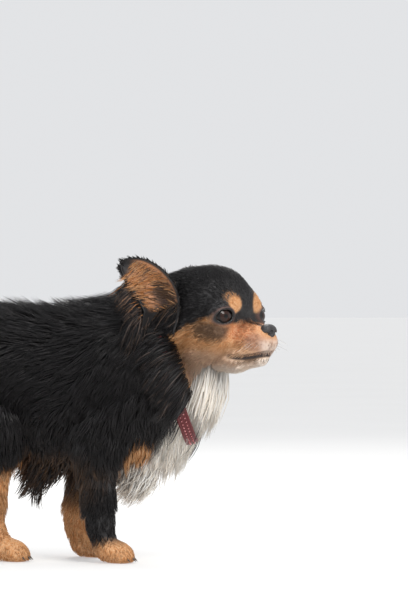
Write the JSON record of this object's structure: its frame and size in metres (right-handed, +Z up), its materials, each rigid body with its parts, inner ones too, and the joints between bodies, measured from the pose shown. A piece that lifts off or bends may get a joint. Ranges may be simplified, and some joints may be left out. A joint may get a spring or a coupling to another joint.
{
  "type": "chihuahua",
  "caption": "Long-coated black, tan and white chihuahua in a red collar, standing in mid step with its head turned, as a still life-size model.",
  "frame": {"origin": "on the floor, at the middle of the whole model's box seen from above", "axes": "+X the way the body faces, +Y the dog's left side, +Z up from the floor"},
  "size_m": [0.3624, 0.1286, 0.2685],
  "materials": {
    "black_coat": "long soft hair with a slight sheen",
    "tan_coat": "short soft hair",
    "cream_coat": "short soft hair",
    "white_coat": "long soft hair",
    "bare_skin": "matt, slightly moist",
    "nose_leather": "pebbled and moist",
    "eyes": "wet and glossy",
    "claws": "smooth horn",
    "collar_band": "woven band",
    "collar_metal": "small polished studs"
  },
  "bodies": {
    "root": {"head": "black_coat", "jaw": "cream_coat", "nose": "nose_leather", "eye_left": "eyes", "eye_right": "eyes", "ear_right": "black_coat", "ear_left": "black_coat", "neck": "black_coat", "chest": "black_coat", "loin": "black_coat", "rump": "black_coat", "tail_base": "black_coat", "tail_end": "black_coat", "fore_upper_arm_right": "black_coat", "fore_forearm_right": "black_coat", "fore_paw_right": "black_coat", "fore_upper_arm_left": "black_coat", "fore_forearm_left": "tan_coat", "fore_paw_left": "tan_coat", "hind_thigh_right": "black_coat", "hind_shank_right": "tan_coat", "hind_foot_right": "tan_coat", "hind_thigh_left": "black_coat", "hind_shank_left": "tan_coat", "hind_foot_left": "tan_coat", "collar": "collar_band"}
  },
  "joints": []
}
